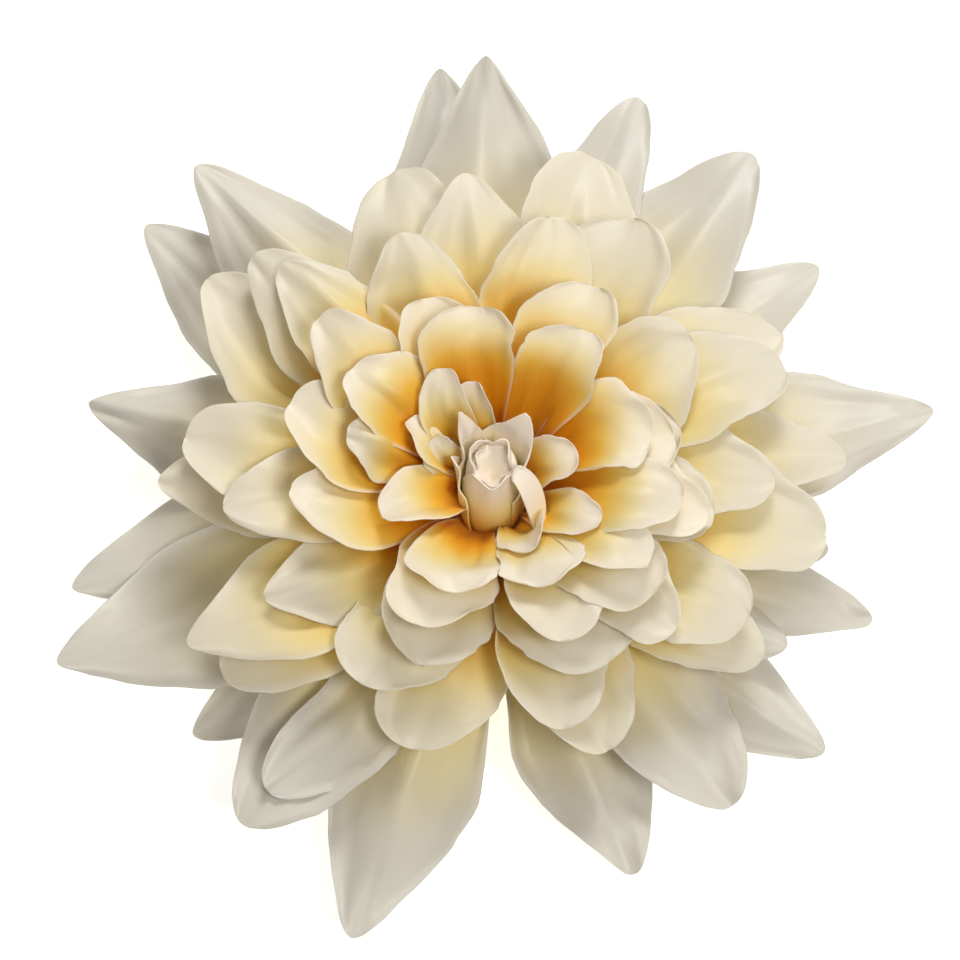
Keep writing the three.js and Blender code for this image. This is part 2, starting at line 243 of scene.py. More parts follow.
# Rings that the petals stand on: shift along Y, then radius and height pairs.
OUTER_RING = (0, [(4.6, 7.9), (12, 7.9), (12.8, 9.4), (11.4, 12.9), (4.6, 12.9)])
MIDDLE_RING = (-1.3, [(4.6, 13.25), (10, 13.25), (11.4, 14.8), (9.6, 18.1), (4.6, 18.1)])
INNER_RING = (-2.5, [(0, 20.1), (4.6, 19.9), (4.6, 18.5), (7.8, 18.5), (8.2, 19.8), (7.4, 21.5), (0, 21.5)])

# The bud's axis leans: y and height of its foot and of its top.
BUD_FOOT = (-7.6, 22.2)
BUD_TOP = (-2.0, 38.0)
BUD_SPAN = BUD_TOP[1] - BUD_FOOT[1]
BUD_RADIUS = 4.6
# The bud's height in steps, and how many of them its outside rises.
BUD_STEPS = 44
BUD_SIDE_STEPS = 37
# The hollow top of the bud: radius, and share of the bud's height.
BUD_HOLLOW = [(2.9, 0.855), (2.3, 0.85), (1.7, 0.81), (1.1, 0.74), (0.5, 0.69), (0.0, 0.68)]
SHEET_THICKNESS = 0.32 * MM

# Outlines that are turned round the upright axis: radius and height pairs.
CALYX_OUTLINE = [(5.75, 2.6), (7, 2.9), (8.9, 5.4), (10, 7.4), (9, 7.4), (8.4, 6.1), (6.9, 4.9)]
STEM_OUTLINE = [
    (0, 0), (1.5, 0), (3.0, 0), (4.6, 0), (5, 0.15), (5.1, 1.2), (5.2, 2.5), (5.8, 3.8),
    (6.4, 5), (8, 6.3), (8.6, 7.0), (8.6, 7.5), (4.2, 7.5), (4.2, 19.0), (3.6, 19.6), (0, 19.6),
]

# The camera's focal length and sensor width, in millimetres.
LENS = 100
SENSOR = 36
# Side of the photograph, and how far the middle of the view lies from the stem's foot, in pixels.
PHOTO_SIDE = 960
VIEW_SHIFT = (-12, 20)

# Half the side of the floor, in metres.
FLOOR_REACH = 20.0
FLOOR_COLOUR = (0.93, 0.93, 0.93, 1.0)
ROOM_COLOUR = (1.0, 0.93, 0.84, 1.0)
SPECK_COLOUR = (0.32, 0.10, 0.05)
CUT_END_COLOUR = (0.62, 0.60, 0.36)
# Each light: name, azimuth and elevation in degrees, distance and diameter in metres, the
# setting that holds its power, and its colour.
LIGHTS = [
    ("key_light", 82, 46, 0.62, 0.22, "key_power", (0.98, 0.99, 1.0)),
    ("front_light", -30, 62, 0.7, 0.26, "front_power", (1.0, 0.99, 0.96)),
    ("fill_light", 200, 82, 0.7, 0.4, "fill_power", (1.0, 0.99, 0.97)),
]


class HeadSettings(bpy.types.PropertyGroup):
    """Sizes of the flower head that a user would change."""

    thickness: bpy.props.FloatProperty(
        name="Petal Thickness", description="Greatest thickness of a petal",
        default=0.26 * MM, min=0.0001, unit="LENGTH",
    )
    ridge: bpy.props.FloatProperty(
        name="Tip Ridge", description="How far a pointed tip folds down beside its ridge",
        default=5.5 * MM, min=0, unit="LENGTH",
    )
    lip: bpy.props.FloatProperty(
        name="Lip", description="How far the rim of a round petal rolls outwards",
        default=1.4 * MM, min=0, unit="LENGTH",
    )
    folds: bpy.props.FloatProperty(
        name="Folds", description="Height of the soft lengthwise folds",
        default=2.6 * MM, min=0, unit="LENGTH",
    )
    ruffle: bpy.props.FloatProperty(
        name="Ruffle", description="Height of the waves along the rims",
        default=0.7 * MM, min=0, unit="LENGTH",
    )
    seed: bpy.props.IntProperty(
        name="Seed", description="Number that the folds and rolls are drawn from", default=7,
    )


class ColourSettings(bpy.types.PropertyGroup):
    """Colours of the flower that a user would change."""

    cream: bpy.props.FloatVectorProperty(
        name="Cream", description="Colour of the petal tips",
        default=(0.91, 0.88, 0.79), subtype="COLOR", min=0, max=1,
    )
    butter: bpy.props.FloatVectorProperty(
        name="Butter", description="Colour where the dye begins",
        default=(0.94, 0.79, 0.33), subtype="COLOR", min=0, max=1,
    )
    yolk: bpy.props.FloatVectorProperty(
        name="Yolk", description="Colour of the dyed lower part of a petal",
        default=(0.95, 0.60, 0.065), subtype="COLOR", min=0, max=1,
    )
    ember: bpy.props.FloatVectorProperty(
        name="Ember", description="Colour of the dye at the foot of the petals",
        default=(0.93, 0.42, 0.012), subtype="COLOR", min=0, max=1,
    )
    leaf: bpy.props.FloatVectorProperty(
        name="Leaf", description="Colour of the calyx leaflets",
        default=(0.20, 0.27, 0.07), subtype="COLOR", min=0, max=1,
    )
    stalk: bpy.props.FloatVectorProperty(
        name="Stalk", description="Colour of the stem",
        default=(0.17, 0.23, 0.07), subtype="COLOR", min=0, max=1,
    )


class StageSettings(bpy.types.PropertyGroup):
    """Camera, floor and light that a user would change."""

    elevation: bpy.props.FloatProperty(
        name="Camera Elevation", description="Angle of the camera above the floor",
        default=math.radians(78), subtype="ANGLE",
    )
    distance: bpy.props.FloatProperty(
        name="Camera Distance", description="Distance from the camera to the stem's foot",
        default=0.457, unit="LENGTH",
    )
    key_power: bpy.props.FloatProperty(
        name="Key Light", description="Power of the light behind the flower",
        default=1.9, min=0, unit="POWER",
    )
    front_power: bpy.props.FloatProperty(
        name="Front Light", description="Power of the light at the front right",
        default=1.95, min=0, unit="POWER",
    )
    fill_power: bpy.props.FloatProperty(
        name="Fill Light", description="Power of the light above on the left",
        default=0.3, min=0, unit="POWER",
    )
    room: bpy.props.FloatProperty(
        name="Room Light", description="Strength of the even light from all round",
        default=0.3, min=0,
    )


class Field:
    """A number or vector of a node tree, put together with plain arithmetic."""

    def __init__(self, tree, socket, vector=False):
        self.tree = tree
        self.socket = socket
        self.vector = vector

    def __add__(self, other):
        return calc(self.tree, "ADD", self, other)

    def __radd__(self, other):
        return calc(self.tree, "ADD", other, self)

    def __sub__(self, other):
        return calc(self.tree, "SUBTRACT", self, other)

    def __rsub__(self, other):
        return calc(self.tree, "SUBTRACT", other, self)

    def __mul__(self, other):
        if self.vector:
            return calc(self.tree, "SCALE", self, other)
        if isinstance(other, Field) and other.vector:
            return calc(self.tree, "SCALE", other, self)
        return calc(self.tree, "MULTIPLY", self, other)

    def __rmul__(self, other):
        return self * other

    def __truediv__(self, other):
        return calc(self.tree, "DIVIDE", self, other)

    def __pow__(self, other):
        return calc(self.tree, "POWER", self, other)


def plug(tree, socket, value):
    """Links a field or socket to an input, or sets the input to a plain value."""
    if isinstance(value, Field):
        tree.links.new(value.socket, socket)
    elif isinstance(value, bpy.types.NodeSocket):
        tree.links.new(value, socket)
    else:
        socket.default_value = value


def add_node(tree, kind, settings=None, **values):
    """A node of a kind with its settings, and its inputs plugged by name."""
    node = tree.nodes.new(kind)
    for key, value in (settings or {}).items():
        setattr(node, key, value)
    for key, value in values.items():
        label = key.replace("_", " ")
        socket = next(s for s in node.inputs if s.name == label and s.enabled)
        plug(tree, socket, value)
    return node


def calc(tree, operation, *values):
    """A math node, or a vector math node where one of the values is a vector."""
    vector = any(isinstance(value, Field) and value.vector for value in values)
    node = tree.nodes.new("ShaderNodeVectorMath" if vector else "ShaderNodeMath")
    node.operation = operation
    sockets = [node.inputs[0], node.inputs[3]] if operation == "SCALE" else node.inputs
    for socket, value in zip(sockets, values):
        plug(tree, socket, value)
    if operation == "DOT_PRODUCT":
        return Field(tree, node.outputs[1])
    return Field(tree, node.outputs[0], vector)


def sine(x):
    return calc(x.tree, "SINE", x)


def cosine(x):
    return calc(x.tree, "COSINE", x)


def root_of(x):
    return calc(x.tree, "SQRT", x)


def size_of(x):
    return calc(x.tree, "ABSOLUTE", x)


def least(x, limit):
    return calc(x.tree, "MINIMUM", x, limit)


def most(x, limit):
    return calc(x.tree, "MAXIMUM", x, limit)


def smooth(x, low, high):
    """Rises smoothly from 0 at low to 1 at high."""
    node = x.tree.nodes.new("ShaderNodeMapRange")
    node.interpolation_type = "SMOOTHSTEP"
    for socket, value in zip(node.inputs, (x, low, high, 0.0, 1.0)):
        plug(x.tree, socket, value)
    return Field(x.tree, node.outputs[0])


def vector(tree, x, y, z):
    node = add_node(tree, "ShaderNodeCombineXYZ", X=x, Y=y, Z=z)
    return Field(tree, node.outputs[0], True)


def parts_of(field):
    """The three numbers of a vector."""
    node = add_node(field.tree, "ShaderNodeSeparateXYZ", Vector=field)
    return [Field(field.tree, socket) for socket in node.outputs]


def unit(v):
    return calc(v.tree, "NORMALIZE", v)


def cross(a, b):
    return calc(a.tree, "CROSS_PRODUCT", a, b)


def dot(a, b):
    return calc(a.tree, "DOT_PRODUCT", a, b)


def turn(v, axis, angle):
    node = add_node(v.tree, "ShaderNodeVectorRotate", Vector=v, Axis=axis, Angle=angle)
    return Field(v.tree, node.outputs[0], True)


def noise(tree, place, scale, detail=1.0):
    """Soft noise between about -1 and 1."""
    node = add_node(tree, "ShaderNodeTexNoise", Vector=place, Scale=scale, Detail=detail)
    return Field(tree, node.outputs[0]) * 2.0 - 1.0


PETAL_NUMBERS = ("azimuth", "reach", "height", "width", "point", "bow")
ROW_INPUTS = {
    "Root Radius": "NodeSocketFloat", "Root Height": "NodeSocketFloat",
    "Lift": "NodeSocketFloat", "Reach of Lift": "NodeSocketFloat",
    "Cup at Root": "NodeSocketFloat", "Cup at Tip": "NodeSocketFloat",
    "Neck": "NodeSocketFloat", "Widest": "NodeSocketFloat", "Shift": "NodeSocketFloat",
    "Thickness": "NodeSocketFloat", "Ridge": "NodeSocketFloat", "Lip": "NodeSocketFloat",
    "Folds": "NodeSocketFloat", "Ruffle": "NodeSocketFloat", "Curl": "NodeSocketFloat",
    "Roll": "NodeSocketFloat", "Dye": "NodeSocketFloat", "Dye Start": "NodeSocketFloat",
    "Dye End": "NodeSocketFloat", "Dye Lean": "NodeSocketFloat", "Rows": "NodeSocketInt",
    "Columns": "NodeSocketInt", "Seed": "NodeSocketInt", "Material": "NodeSocketMaterial",
}
# Looks that are given as a share of the setting in the panel.
SHARES = ("thickness", "ridge", "lip", "folds", "ruffle")


def petal_tree():
    """The node tree that bends one closed petal for each point of its input."""
    tree = bpy.data.node_groups.new("Petal Row", "GeometryNodeTree")
    face = tree.interface
    face.new_socket("Petals", in_out="INPUT", socket_type="NodeSocketGeometry")
    for name, kind in ROW_INPUTS.items():
        face.new_socket(name, in_out="INPUT", socket_type=kind)
    face.new_socket("Geometry", in_out="OUTPUT", socket_type="NodeSocketGeometry")
    given = tree.nodes.new("NodeGroupInput").outputs

    def number(name):
        return Field(tree, given[name])

    def stored(name):
        node = add_node(tree, "GeometryNodeInputNamedAttribute", {"data_type": "FLOAT"}, Name=name)
        return Field(tree, node.outputs[0])

    def store(geometry, name, value, kind="FLOAT"):
        node = add_node(
            tree, "GeometryNodeStoreNamedAttribute", {"data_type": kind, "domain": "POINT"},
            Geometry=geometry, Name=name, Value=value,
        )
        return node.outputs[0]

    # One draw for each petal, kept on its point before the grids take its place.
    draw = add_node(tree, "FunctionNodeRandomValue", {"data_type": "FLOAT"}, Min=0.0, Max=1.0,
                    Seed=given["Seed"])
    drawn = next(socket for socket in draw.outputs if socket.enabled)
    points = store(given["Petals"], "draw", drawn)

    # A petal is two grids, face and back, that meet at the rim.
    grid = add_node(tree, "GeometryNodeMeshGrid", Size_X=2.0, Size_Y=1.0,
                    Vertices_X=given["Columns"], Vertices_Y=given["Rows"])
    flipped = add_node(tree, "GeometryNodeFlipFaces", Mesh=grid.outputs[0])
    both = tree.nodes.new("GeometryNodeJoinGeometry")
    tree.links.new(store(flipped.outputs[0], "side", 1.0), both.inputs[0])
    tree.links.new(store(grid.outputs[0], "side", -1.0), both.inputs[0])
    copies = add_node(tree, "GeometryNodeInstanceOnPoints", Points=points, Instance=both.outputs[0])
    blank = add_node(tree, "GeometryNodeRealizeInstances", Geometry=copies.outputs[0])

    # v runs from rim to rim and s from root to tip. Both crowd the grid at the petal's edge.
    place = Field(tree, tree.nodes.new("GeometryNodeInputPosition").outputs[0], True)
    even, step, _ = parts_of(place)
    v = even * (1.5 - 0.5 * even * even)
    t = step + 0.5
    s = sine(t * (math.pi / 2))
    rest = 1.0 - s
    azimuth, reach, height, width, point, bow = (stored(name) for name in PETAL_NUMBERS)
    tone = stored("draw")
    side = stored("side")
    root_radius, root_height = number("Root Radius"), number("Root Height")

    # The spine leaves the root circle at the lift and bends to the tip.
    run, rise = reach - root_radius, height - root_height
    length = root_of(run * run + rise * rise)
    carry = number("Reach of Lift") * length
    bend_run = carry * cosine(number("Lift"))
    bend_rise = carry * sine(number("Lift"))
    spine = vector(
        tree,
        root_radius + 2.0 * s * rest * bend_run + s * s * run,
        2.0 * s * rest * bow,
        root_height + 2.0 * s * rest * bend_rise + s * s * rise,
    )
    along = unit(vector(
        tree,
        rest * bend_run + s * (run - bend_run),
        (1.0 - 2.0 * s) * bow,
        rest * bend_rise + s * (rise - bend_rise),
    ))
    left = vector(tree, 0.0, 1.0, 0.0)
    across = unit(left - along * dot(left, along))
    across = turn(across, along, (tone * 2.0 - 0.9) * number("Roll") * s)
    out = cross(along, across)

    # Width along the petal, and the cup of its cross section.
    neck = number("Neck")
    swell = neck + (1.0 - neck) * sine(least(s / number("Widest"), 1.0) * (math.pi / 2))
    taper = (1.0 - point) * root_of(most(1.0 - s ** 8.0, 0.0)) + point * most(1.0 - s ** 5.0, 0.0)
    seat = tone * 37.0
    uneven = noise(tree, vector(tree, s * 2.6, v * 0.9, seat), 1.2, 2.0)
    sharp = smooth(point, 0.15, 0.6)
    ogee = 1.0 - 0.22 * sharp * smooth(s, 0.62, 0.95)
    notch = noise(tree, vector(tree, s * 7.0, v * 1.4 + seat, seat), 1.3)
    rough = 1.0 + 0.09 * uneven + 0.14 * notch * smooth(s, 0.45, 0.8)
    half = width * 0.5 * swell * taper * ogee * rough
    blunt = (0.5 + 2.4 * point) * MM * root_of(most(1.0 - s ** 12.0, 0.0))
    half = most(root_of(half * half + blunt * blunt), 0.05 * MM)
    # The cup is divided by, so a little is added that keeps it above 0.
    cup = number("Cup at Root") + (number("Cup at Tip") - number("Cup at Root")) * s + 0.0005
    turned = cup * v
    lift_off = sine(turned * 0.5)
    sheet = spine + across * (half * sine(turned) / cup)
    sheet = sheet + out * (half * 2.0 * lift_off * lift_off / cup)
    skew = sine(seat * 5.3) * (1.0 - sharp) * smooth(s, 0.5, 1.0) ** 2.0
    sheet = sheet + across * (width * 0.13 * skew)
    normal = unit(out * cosine(turned) - across * sine(turned))

    # Pointed tips fold down beside a ridge. The rims of round ones roll outwards.
    aside = v - 0.5 * sine(seat * 1.7) * (1.0 - 0.5 * s)
    tent = root_of(aside * aside + 0.05) - 0.22
    fullness = half / (width * 0.5)
    ridge = number("Ridge") * (0.3 + 0.7 * sharp) * tent * smooth(s, 0.25, 0.8) * fullness
    ridge = ridge * (1.0 - (0.85 - 0.1 * sharp) * smooth(s, 0.8, 0.98))
    rim = most(v ** 4.0 * smooth(s, 0.2, 0.6) * fullness, smooth(s, 0.72, 1.0))
    lip = number("Lip") * (1.0 - 0.7 * sharp) * rim ** 1.3 * (1.0 + 0.8 * sine(seat * 3.1) * v)
    end = number("Curl") * smooth(s, 0.6, 1.0) ** 2.0
    streaks = noise(tree, vector(tree, v * 0.9 + seat, s * 0.7, seat), 1.6)
    swells = noise(tree, vector(tree, v * least(fullness * 1.5, 0.5) - seat, s * 1.3, seat), 1.5)
    lines = size_of(noise(tree, vector(tree, v * 1.5 + seat, s * 0.55 + seat, seat), 1.3))
    creases = (smooth(lines, 0.0, 0.13) - 1.0) * (1.0 - smooth(s, 0.55, 0.9)) * 0.2
    pleats = noise(tree, vector(tree, v * 2.2 + seat, s * 0.8 - seat, seat), 1.3)
    dents = noise(tree, vector(tree, v * 1.6 - seat, s * 2.4, seat), 2.0)
    window = smooth(s, 0.05, 0.35)
    across_folds = (streaks + 0.5 * pleats) * (1.0 - 0.9 * smooth(s, 0.5, 0.97))
    across_folds = across_folds + 0.16 * dents + creases
    folds = number("Folds") * window * (across_folds * least(fullness * 1.6, 1.0) + 0.8 * swells)
    wave = sine(s * 11.0 + seat * 2.0 + v * 1.3) * v * v * smooth(s, 0.25, 0.6) * fullness
    offset = folds + number("Ruffle") * wave - ridge - lip - end

    # The blade thins to nothing at its rim, so that face and back meet there.
    blade = root_of(most((1.0 - v ** 18.0) * (1.0 - t ** 24.0), 0.0)) * smooth(t, 0.0, 0.04)
    offset = offset + side * number("Thickness") * 0.5 * blade
    made = turn(sheet + normal * offset, vector(tree, 0.0, 0.0, 1.0), azimuth)
    x, y, z = parts_of(made)
    y = y + number("Shift")
    # A petal that reaches the surface lies on it.
    floor = (0.3 + 0.2 * side) * MM
    z = most(z, floor)
    # With a lean above 0 the dye reaches further up on the far side of the flower.
    spread = number("Dye Lean") * sine(azimuth) + 0.05 * uneven
    dye = number("Dye") * (
        1.0 - smooth(s + 0.15 * v ** 4.0 - spread, number("Dye Start"), number("Dye End"))
    )

    shaped = store(blank.outputs[0], "petal_place", vector(tree, s, v, tone), "FLOAT_VECTOR")
    shaped = store(shaped, "dye", dye)
    moved = add_node(tree, "GeometryNodeSetPosition", Geometry=shaped, Position=vector(tree, x, y, z))
    closed = add_node(tree, "GeometryNodeMergeByDistance", Geometry=moved.outputs[0],
                      Distance=0.002 * MM)
    soft = add_node(tree, "GeometryNodeSetShadeSmooth", Geometry=closed.outputs[0])
    whole = add_node(tree, "GeometryNodeRealizeInstances", Geometry=soft.outputs[0])
    painted = add_node(tree, "GeometryNodeSetMaterial", Geometry=whole.outputs[0],
                       Material=given["Material"])
    result = tree.nodes.new("NodeGroupOutput")
    tree.links.new(painted.outputs[0], result.inputs[0])
    return tree


def petals_of(name, row, material, node, slot, rows=40, columns=25, **looks):
    """One piece with all the petals of a row."""
    sizes = bpy.context.scene.dahlia_head
    mesh = bpy.data.meshes.new(name)
    mesh.from_pydata([(0, 0, 0)] * len(row.petals), [], [])
    units = (math.pi / 180, MM, MM, MM, 1.0, MM)
    for n, (label, unit_size) in enumerate(zip(PETAL_NUMBERS, units)):
        values = mesh.attributes.new(label, "FLOAT", "POINT")
        values.data.foreach_set("value", [petal[n] * unit_size for petal in row.petals])
    piece = bpy.data.objects.new(name, mesh)
    bpy.context.collection.objects.link(piece)
    tree = bpy.data.node_groups.get("Petal Row") or petal_tree()
    given = {
        "Root Radius": row.root[0] * MM, "Root Height": row.root[1] * MM,
        "Lift": math.radians(row.lift), "Reach of Lift": row.reach_of_lift,
        "Cup at Root": math.radians(row.cup[0]), "Cup at Tip": math.radians(row.cup[1]),
        "Neck": row.neck, "Widest": row.widest, "Shift": row.shift * MM,
        "Thickness": sizes.thickness, "Ridge": sizes.ridge, "Lip": sizes.lip,
        "Folds": sizes.folds, "Ruffle": sizes.ruffle, "Curl": 0.0, "Roll": 0.0,
        "Dye": 1.0, "Dye Start": 0.0, "Dye End": 0.5, "Dye Lean": 0.0,
        "Rows": rows, "Columns": columns, "Seed": sizes.seed, "Material": material,
    }
    for key, value in looks.items():
        label = key.replace("_", " ").title()
        given[label] = given[label] * value if key in SHARES else value
    modifier = piece.modifiers.new("Petals", "NODES")
    modifier.node_group = tree
    for item in tree.interface.items_tree:
        if item.in_out == "INPUT" and item.name in given:
            modifier[item.identifier] = given[item.name]
    graph = bpy.context.evaluated_depsgraph_get()
    plain = bpy.data.meshes.new_from_object(
        piece.evaluated_get(graph), preserve_all_data_layers=True, depsgraph=graph
    )
    if not plain.polygons:
        raise RuntimeError(f"{name} has no faces")
    piece.modifiers.remove(modifier)
    piece.data = plain
    plain.name = name
    bpy.data.meshes.remove(mesh)
    for label in (*PETAL_NUMBERS, "draw", "side"):
        if label in plain.attributes:
            plain.attributes.remove(plain.attributes[label])
    return settle(piece, node)


def settle(piece, node):
    """Rides a piece on the body and hides the part of model.glb that it stands for."""
    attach(piece, "root")
    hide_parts(node)
    return piece


def mesh_piece(name, work, material, node, dye=None):
    """A finished piece from a bmesh with faces pointing outwards."""
    bmesh.ops.remove_doubles(work, verts=work.verts, dist=0.001 * MM)
    bmesh.ops.recalc_face_normals(work, faces=work.faces)
    mesh = bpy.data.meshes.new(name)
    work.to_mesh(mesh)
    work.free()
    for polygon in mesh.polygons:
        polygon.use_smooth = True
    if dye is not None:
        values = mesh.attributes.new("dye", "FLOAT", "POINT")
        values.data.foreach_set("value", [dye(vertex.co) for vertex in mesh.vertices])
    mesh.materials.append(material)
    piece = bpy.data.objects.new(name, mesh)
    bpy.context.collection.objects.link(piece)
    return settle(piece, node)


def lathe(outline, place, sides):
    """A bmesh turned from an outline. place(radius, height, angle) gives each point."""
    work = bmesh.new()
    rings = []
    for radius, height in outline:
        ring = [
            work.verts.new(place(radius, height, 2 * math.pi * n / sides)) for n in range(sides)
        ]
        rings.append(ring)
    for lower, upper in zip(rings, rings[1:]):
        for n in range(sides):
            m = (n + 1) % sides
            work.faces.new((lower[n], lower[m], upper[m], upper[n]))
    return work


def add_blade(work, place, columns, rows):
    """Adds a closed thin sheet to a bmesh. place(across, along) gives each point from 0 to 1."""
    # How far beside a point the sheet's slope is measured.
    near = 0.01

    def grid(side):
        lines = []
        for j in range(rows + 1):
            line = []
            for i in range(columns + 1):
                a = 0.5 - 0.5 * math.cos(math.pi * i / columns)
                b = math.sin(math.pi / 2 * j / rows)
                reach = place(min(a + near, 1), b) - place(max(a - near, 0), b)
                climb = place(a, min(b + near, 1)) - place(a, max(b - near, 0))
                edge = 0.0 if i in (0, columns) or j in (0, rows) else 1.0
                outwards = reach.cross(climb).normalized() * SHEET_THICKNESS / 2 * side * edge
                line.append(work.verts.new(place(a, b) + outwards))
            lines.append(line)
        for j in range(rows):
            for i in range(columns):
                corners = (lines[j][i], lines[j][i + 1], lines[j + 1][i + 1], lines[j + 1][i])
                work.faces.new(corners if side > 0 else corners[::-1])

    grid(1)
    grid(-1)


def smooth_outline(outline, times):
    """Cuts the corners of an outline a few times, keeping its ends."""
    for _ in range(times):
        cut = [outline[0]]
        for a, b in zip(outline, outline[1:]):
            cut.append(tuple(0.75 * p + 0.25 * q for p, q in zip(a, b)))
            cut.append(tuple(0.25 * p + 0.75 * q for p, q in zip(a, b)))
        outline = cut + [outline[-1]]
    return outline


def ring_piece(name, ring, material, node):
    """The ring that the feet of some petals stand on."""
    shift, outline = ring

    # The hole stays round the stem's core. Only what lies outside it is uneven and shifted.
    def place(radius, height, angle):
        outside = radius > 5
        wobble = 1 + 0.012 * math.sin(11 * angle + height) if outside else 1
        x = radius * wobble * math.cos(angle)
        y = radius * wobble * math.sin(angle) + (shift if outside else 0)
        return Vector((x, y, height)) * MM

    # An outline that starts off the axis closes on itself.
    if outline[0][0] > 0:
        outline = [*outline, outline[0]]
    work = lathe(smooth_outline(outline, 1), place, sides=72)
    return mesh_piece(name, work, material, node, lambda co: 1.0)


def heading(angle):
    """The level direction at an angle."""
    return Vector((math.cos(angle), math.sin(angle), 0))


def on_bud_axis(share):
    """A point of the bud's leaning axis at a share of its height."""
    return Vector((0, *BUD_FOOT)).lerp(Vector((0, *BUD_TOP)), share)


def bud_bulge(share):
    """The bud's radius, which draws in at its shoulder and a little at its foot."""
    shoulder = max(0.0, min((share - 0.4) / 0.6, 1.0))
    foot_share = 0.8 + 0.2 * math.sin(math.pi / 2 * min(share / 0.4, 1.0))
    return BUD_RADIUS * foot_share * (1 - 0.58 * shoulder ** 2.4)


def bud_stretch(share, angle):
    """How much further the bud reaches on its far side near the top."""
    return 1 + 0.5 * max(0.0, math.sin(angle)) * max(0.0, min((share - 0.5) / 0.4, 1.0))


def wrapped_sheet(start, end, rim, peak, power, stand_off, lean):
    """The place function of a sheet that is wrapped round the bud."""
    def place(across, rise):
        angle = math.radians(start + (end - start) * across)
        aside = (across - peak) / (peak if across < peak else 1 - peak)
        crest = 0.62 + 0.38 * (1 - abs(aside) ** power) + 0.014 * math.sin(13 * across + start)
        share = rise * crest * (rim - BUD_FOOT[1]) / BUD_SPAN
        close = bud_bulge(min(share, 0.93)) * bud_stretch(share, angle)
        tip = math.exp(-((abs(across - peak) * 4.6) ** 1.25))
        pleat = (0.1 + 0.07 * lean) * math.sin(17 * across + start) * rise ** 3
        radius = close + stand_off + (0.2 + lean * tip) * rise ** 5 - 0.2 * (1 - rise) + pleat
        return (on_bud_axis(share) + heading(angle) * radius) * MM

    return place


def ribbon_place(across, rise):
    """A point of the ribbon that peels off the bud."""
    start, bend, end = (Vector(point) for point in RIBBON)
    middle = start.lerp(bend, rise).lerp(bend.lerp(end, rise), rise)
    side = (bend - start).lerp(end - bend, rise).cross(Vector((0.75, -0.5, 0.45))).normalized()
    width = RIBBON_WIDTH * (0.35 + 0.65 * math.sin(math.pi * min(rise * 0.62 + 0.1, 1)))
    width *= (1 - rise ** 6) ** 0.5
    wave = Vector((0.5, -0.6, 0.2)) * (1.2 * (2 * across - 1) ** 2 - 0.5 * math.sin(5 * rise))
    return (middle + side * width * (across - 0.5) + wave * 0.5) * MM


def bud_dye(co):
    """The bud is dyed at its foot, and less towards its axis."""
    height = co.z / MM
    axis = on_bud_axis((height - BUD_FOOT[1]) / BUD_SPAN)
    outside = (Vector((co.x / MM, co.y / MM, height)) - axis).length - 2.6
    return max(0.0, min(1.0, 0.9 - (height - 24) / 13)) * max(0.15, min(outside, 1.0))


def bud_piece(paint):
    """The bud with its hollow top, its wrapped sheets and its ribbon."""
    def place(radius, share, angle):
        ripple = 1 + 0.12 * math.sin(angle - 7 * share + 1.2) * max(0, share - 0.3)
        out = heading(angle) * radius * ripple
        out *= bud_stretch(share, angle)
        return (on_bud_axis(share) + out) * MM

    outline = [(0, 0.0), (3.0, 0.0)]
    outline += [(bud_bulge(n / BUD_STEPS), n / BUD_STEPS) for n in range(1, BUD_SIDE_STEPS + 1)]
    work = lathe(outline + BUD_HOLLOW, place, sides=64)
    for wrap in WRAPS:
        add_blade(work, wrapped_sheet(*wrap), columns=44, rows=26)
    add_blade(work, ribbon_place, columns=14, rows=30)
    return mesh_piece("bud", work, paint, "heart", bud_dye)


def shader_tree(name):
    """A new material with its tree emptied of all but the output."""
    material = bpy.data.materials.new(name)
    material.use_nodes = True
    tree = material.node_tree
    tree.nodes.clear()
    return material, tree, tree.nodes.new("ShaderNodeOutputMaterial")


def attribute(tree, name, is_vector=False):
    node = tree.nodes.new("ShaderNodeAttribute")
    node.attribute_name = name
    return Field(tree, node.outputs[1 if is_vector else 2], is_vector)


def blend(tree, share, first, second, mode="MIX"):
    """A colour mixed from two by a share."""
    node = tree.nodes.new("ShaderNodeMix")
    node.data_type = "RGBA"
    node.blend_type = mode
    plug(tree, node.inputs[0], share)
    for socket, value in ((node.inputs[6], first), (node.inputs[7], second)):
        if isinstance(value, (Field, bpy.types.NodeSocket)):
            plug(tree, socket, value)
        else:
            socket.default_value = (*value, 1.0)
    return node.outputs[2]


